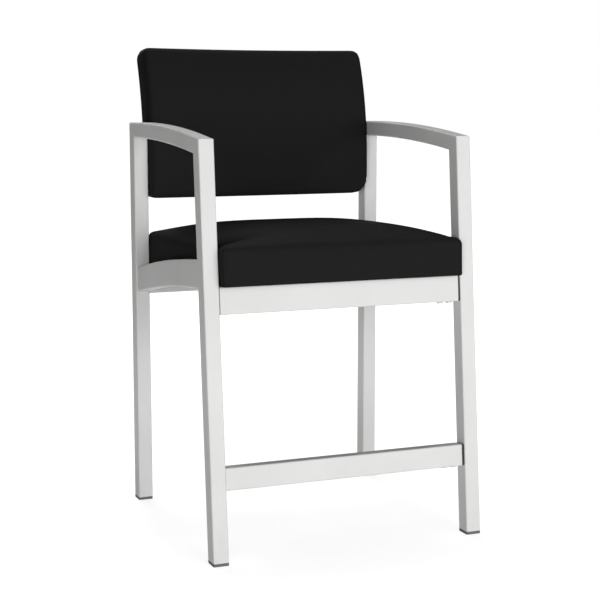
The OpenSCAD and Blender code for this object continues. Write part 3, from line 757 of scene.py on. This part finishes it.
# Under the seat: dust cloth, held by staples. Places are in the seat's frame
cloth = {
    "inset": 22.3 * mm,        # from the cushion's edge
    "thickness": 0.5 * mm,
    "topZ": 0.55 * mm,         # at its edge, just under the board
    "corner": 10 * mm,
    "sag": 2.2 * mm,
    "sagging": (60 * mm, 470 * mm),  # it sags between the rails
    "fullness": (2, 2),
    "wave": (14, 0.9 * mm),    # scale and height of its slack
    "pulls": 26,               # ripples round the edge, from the staples
    "pullStart": 10 * mm,
    "pullReach": 26 * mm,
    "pullHeight": 0.3 * mm,
    "cell": 8 * mm,
    "tabX": 129 * mm,          # middle and half width of the cuts round the steel tabs
    "tabHalf": 29 * mm,
    "cuts": ((52.2 * mm, 100.8 * mm), (437 * mm, 490 * mm)),
    "staplePitch": 46 * mm,
    "stapleInset": 5 * mm,
    "staple": (10 * mm, 1.3 * mm, 0.6 * mm),
    "stapleEdge": 0.25 * mm,
    "stapleZ": -0.1 * mm,
    "stapleClear": 7 * mm,     # from a cut
    "stapleTurn": (0.12, 2.4),  # how far the staples stand askew, and what varies it
}
clothHalf = (seat["half"] - cloth["inset"], seat["length"] / 2 - cloth["inset"])


def nearTab(x, y, spare=0):
    return (abs(abs(x) - cloth["tabX"]) < cloth["tabHalf"] + spare
            and any(low - spare < y < high + spare for low, high in cloth["cuts"]))


def dustCloth():
    shape = bmesh.new()
    bmesh.ops.create_grid(shape, x_segments=1, y_segments=1, size=1)
    bmesh.ops.scale(shape, vec=(clothHalf[0], clothHalf[1], 1), verts=shape.verts)
    bmesh.ops.bevel(shape, geom=shape.verts[:], offset=cloth["corner"], offset_type="OFFSET", segments=4,
                    profile=0.5, affect="VERTICES", material=-1)
    bmesh.ops.translate(shape, vec=(0, seat["length"] / 2, 0), verts=shape.verts)
    for side in (-1, 1):
        for edge in (-1, 1):
            cutAlong(shape, 0, side * cloth["tabX"] + edge * cloth["tabHalf"])
    for place in [place for cut in cloth["cuts"] for place in cut]:
        cutAlong(shape, 1, place)
    for axis, low, high in ((0, -clothHalf[0], clothHalf[0]),
                            (1, cloth["inset"], seat["length"] - cloth["inset"])):
        count = round((high - low) / cloth["cell"])
        for cut in range(1, count):
            cutAlong(shape, axis, low + (high - low) * cut / count)
    bmesh.ops.delete(shape, geom=[f for f in shape.faces if nearTab(*f.calc_center_median().xy)],
                     context="FACES")
    flatArea = sum(f.calc_area() for f in shape.faces)
    front, rear = cloth["sagging"]
    waveScale, waveHeight = cloth["wave"]
    for vertex in shape.verts:
        x, y = vertex.co.x, vertex.co.y - seat["length"] / 2
        edge = min(clothHalf[0] - abs(x), clothHalf[1] - abs(y))
        pull = math.sin(math.atan2(y, x) * cloth["pulls"]) * math.exp(-edge / cloth["pullReach"])
        pull *= smoothStep(0, cloth["pullStart"], edge)
        loose = swell(cloth, x, vertex.co.y - (front + rear) / 2, clothHalf[0], (rear - front) / 2)
        wave = noise.noise(Vector((x, y, 0)) * waveScale) * waveHeight
        vertex.co.z = cloth["topZ"] - loose * (cloth["sag"] + abs(wave))
        vertex.co.z -= cloth["pullHeight"] * abs(pull) * smoothStep(0, 0.2, loose)
    bmesh.ops.solidify(shape, geom=shape.faces[:], thickness=cloth["thickness"])
    for vertex in shape.verts:
        vertex.co = seatToChair(vertex.co)
    bmesh.ops.recalc_face_normals(shape, faces=shape.faces)
    piece = finishPiece("dustCloth", shape, "dust_cloth")
    2 * clothHalf[0]
    2 * clothHalf[1]
    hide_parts("seat_dust_cover")
    return piece


def seatStaples():
    halfX, halfY = (half - cloth["stapleInset"] for half in clothHalf)
    places = []
    for half, other, turn in ((halfX, halfY, 0), (halfY, halfX, math.pi / 2)):
        count = round(2 * half / cloth["staplePitch"])
        for step in range(count):
            along = half * ((2 * step + 1) / count - 1)
            for side in (-other, other):
                places.append((along, side, turn) if turn == 0 else (side, along, turn))
    shape = bmesh.new()
    most, beat = cloth["stapleTurn"]
    for index, (x, y, turn) in enumerate(places):
        y += seat["length"] / 2
        if nearTab(x, y, cloth["stapleClear"]) or y < cloth["sagging"][0]:
            continue
        wobble = most * math.sin(index * beat)
        made = bmesh.ops.create_cube(shape, size=1)["verts"]
        bmesh.ops.scale(shape, vec=cloth["staple"], verts=made)
        bmesh.ops.rotate(shape, matrix=Matrix.Rotation(turn + wobble, 3, "Z"), verts=made)
        bmesh.ops.translate(shape, vec=(x, y, cloth["stapleZ"]), verts=made)
    bmesh.ops.bevel(shape, geom=shape.edges[:], offset=cloth["stapleEdge"], segments=2, profile=0.5,
                    affect="EDGES", material=-1)
    for vertex in shape.verts:
        vertex.co = seatToChair(vertex.co)
    return finishPiece("seatStaples", shape, "zinc_steel", 40)


dustPiece, staplePiece = dustCloth(), seatStaples()
print("dust cloth:", len(dustPiece.data.polygons), "faces, staples:",
      len(staplePiece.data.polygons), "faces")


# Painted weld beads on the faces turned inwards: at the rails' left ends, the side rails
# and the seat's tabs
weld = {
    "radius": 1.7 * mm,
    "step": 2.2 * mm,          # from one ripple to the next
    "ripple": 0.16,
    "ends": 0.6,               # share of the radius that is left at both ends
    "short": 3 * mm,           # how far a bead stops before a corner
}
rails = {
    "frontUp": (484 * mm, 538 * mm),       # along the front leg, underside and top
    "footUp": (144.5 * mm, 189 * mm),
    "depth": (1.625 * mm, 33.375 * mm),    # from the front leg's front face
    "rearY": (207.739 * mm, 239.489 * mm),
    "rearZ": (466.228 * mm, 520.228 * mm),
    "sideX": 261.6 * mm,                   # inner face of a side rail
    # underside and top of a side rail, at the front leg and at the rear leg
    "sideZ": ((528 * mm, 582 * mm), (472 * mm, 526 * mm)),
    "tabs": (104 * mm, 154 * mm),          # X of a seat tab's edges
    "tabTop": (5 * mm, 4 * mm),            # from the front and the rear rail's top to a tab's weld
    "tabDrop": 34 * mm,
}


def upLeg(x, height, depth):
    c, s = math.cos(chair["rake"]), math.sin(chair["rake"])
    return Vector((x, chair["frontY"] + height * s + depth * c, height * c - depth * s))


def weldPaths():
    # The start and the end of each bead, which stops short of the corners
    paths = []
    inner, short = chair["innerHalf"], weld["short"]
    for low, high in (rails["frontUp"], rails["footUp"]):
        near, far = rails["depth"]
        paths.append([upLeg(-inner, high - short, far), upLeg(-inner, low + short, far)])
        paths.append([upLeg(-inner, low, far - short), upLeg(-inner, low, near + short)])
    y, (low, high) = rails["rearY"][1], rails["rearZ"]
    paths.append([Vector((-inner, y, high - short)), Vector((-inner, y, low + short))])
    paths.append([Vector((-inner, rails["rearY"][0] + short, low)), Vector((-inner, y - short, low))])
    for side in (-1, 1):
        x = side * rails["sideX"]
        (frontLow, frontHigh), (rearLow, rearHigh) = rails["sideZ"]
        tall = 1 / math.cos(chair["rake"])
        depth = chair["legDepth"]
        paths.append([upLeg(x, (z + depth * math.sin(chair["rake"])) * tall, depth)
                      for z in (frontLow + short, frontHigh - short)])
        paths.append([Vector((x, chair["postFrontY"], z)) for z in (rearLow + short, rearHigh - short)])
        for edge in rails["tabs"]:
            top = rails["frontUp"][1] - rails["tabTop"][0]
            paths.append([upLeg(side * edge, top, rails["depth"][1]),
                          upLeg(side * edge, top - rails["tabDrop"], rails["depth"][1])])
            y, top = rails["rearY"][0], rails["rearZ"][1] - rails["tabTop"][1]
            paths.append([Vector((side * edge, y, z)) for z in (top, top - rails["tabDrop"])])
    return paths


def weldBeads():
    line = bpy.data.curves.new("weldBeads", "CURVE")
    line.dimensions = "3D"
    line.bevel_depth = weld["radius"]
    line.bevel_resolution = 2
    line.use_fill_caps = True
    for start, end in weldPaths():
        count = max(4, round((end - start).length / weld["step"]))
        spline = line.splines.new("POLY")
        spline.points.add(count)
        for index, point in enumerate(spline.points):
            share = index / count
            point.co = (*start.lerp(end, share), 1)
            ripple = 1 + weld["ripple"] * (1 if index % 2 else -1)
            point.radius = ripple * (weld["ends"] if index in (0, count) else 1)
    holder = bpy.data.objects.new("weldBeads", line)
    scene.collection.objects.link(holder)
    mesh = bpy.data.meshes.new_from_object(holder.evaluated_get(bpy.context.evaluated_depsgraph_get()))
    bpy.data.objects.remove(holder)
    bpy.data.curves.remove(line)
    piece = bpy.data.objects.new("weldBeads", mesh)
    scene.collection.objects.link(piece)
    return dress(piece, "frame_paint")


beadPiece = weldBeads()
print("weld beads made:", len(beadPiece.data.polygons), "faces")


# Floor: pale, and lit from within, so that it throws soft light up at the frame
stage = {
    "radius": 30,
    # light thrown up from under the chair, from behind it and from before it
    "glow": (0.291, 1.022, 0.546),
    "glowUnder": (0.5, 1.6),         # metres from the middle between which it fades out
    "glowRound": (1.5, 4),
    "glowTurn": (0.2, 1.2),          # metres to the front or the rear between which it begins
    # brightness to the camera: lowest under the chair, as painted shade, more beside it and more far off
    "shown": (0.735, 0.07, 0.25),
    "shownBeside": (0.3, 0.6),
    "shownFar": (0.6, 3),
    # share of light that it gives back, and more to the camera
    "matt": (0.28, 0.27),
}


def stageWhite():
    under, fromBehind, fromBefore = stage["glow"]
    middle, beside, farOff = stage["shown"]
    paint = Paint("stageWhite")
    seen = paint.node("LightPath", output="Is Camera Ray")
    away = paint.node("VectorMath", {"operation": "LENGTH"}, {0: paint.place}, output="Value")
    depthwise = paint.node("SeparateXYZ", None, {0: paint.place}, output="Y")
    behind, before = depthwise.ramp(*stage["glowTurn"]), (depthwise * -1).ramp(*stage["glowTurn"])
    glow = (1 - away.ramp(*stage["glowRound"])) * (behind * fromBehind + before * fromBefore)
    glow = (1 - away.ramp(*stage["glowUnder"])) * under + glow
    # Painted shade: the floor is shown darker to the camera under the chair than beside it and far off
    shown = middle + away.ramp(*stage["shownBeside"]) * beside + away.ramp(*stage["shownFar"]) * farOff
    strength = seen * shown + (1 - seen) * glow
    light = paint.node("Emission", None, {"Color": grey(1), "Strength": strength})
    given, more = stage["matt"]
    matt = paint.node("BsdfDiffuse", None, {"Color": given + seen * more})
    paint.end(paint.node("AddShader", None, {0: light, 1: matt}))
    return paint.owner


floorShape = bmesh.new()
bmesh.ops.create_circle(floorShape, cap_ends=True, segments=96, radius=stage["radius"])
bmesh.ops.recalc_face_normals(floorShape, faces=floorShape.faces)
floor = pieceFrom("floor", floorShape)
floor.data.materials.append(stageWhite())

# The room is dark round the chair, and plain white to the camera
sky = Paint("sky", world=True)
toCamera = sky.node("LightPath", output="Is Camera Ray")
sky.end(sky.node("Background", None, {"Color": grey(1), "Strength": toCamera}))
scene.world = sky.owner

# The lowest rear lamp is in two parts, because its whole sheen would whiten the cushion's edge
lamps = [  # name, degrees to the right of the front, degrees up, distance, size, power
    ("leftSoftbox", -35, 4, 6, 2.5, 121),
    ("frontSoftbox", 10, 4, 6, 2.5, 59),
    ("frontHigh", 10, 25, 6, 2.5, 47),
    ("rightSoftbox", 32, 4, 6, 2.5, 85),
    ("rightHigh", 60, 50, 6, 2.5, 25),
    ("lowBack", 180, 25, 6, 3, 27),
    ("lowBackMatt", 180, 25, 6, 3, 68),
    ("highBack", 180, 60, 5, 4, 116),
]
aim = Vector((0, 0, 0.6))
for name, turn, lift, distance, size, power in lamps:
    turn, lift = math.radians(turn), math.radians(lift)
    light = bpy.data.lights.new(name, "AREA")
    light.shape = "DISK"
    light.size = size
    light.energy = power
    lamp = bpy.data.objects.new(name, light)
    way = Vector((math.sin(turn) * math.cos(lift), -math.cos(turn) * math.cos(lift), math.sin(lift)))
    lamp.location = aim + distance * way
    lamp.rotation_euler = (aim - lamp.location).to_track_quat("-Z", "Y").to_euler()
    lamp.visible_glossy = name != "lowBackMatt"
    scene.collection.objects.link(lamp)
print("floor and light placed")
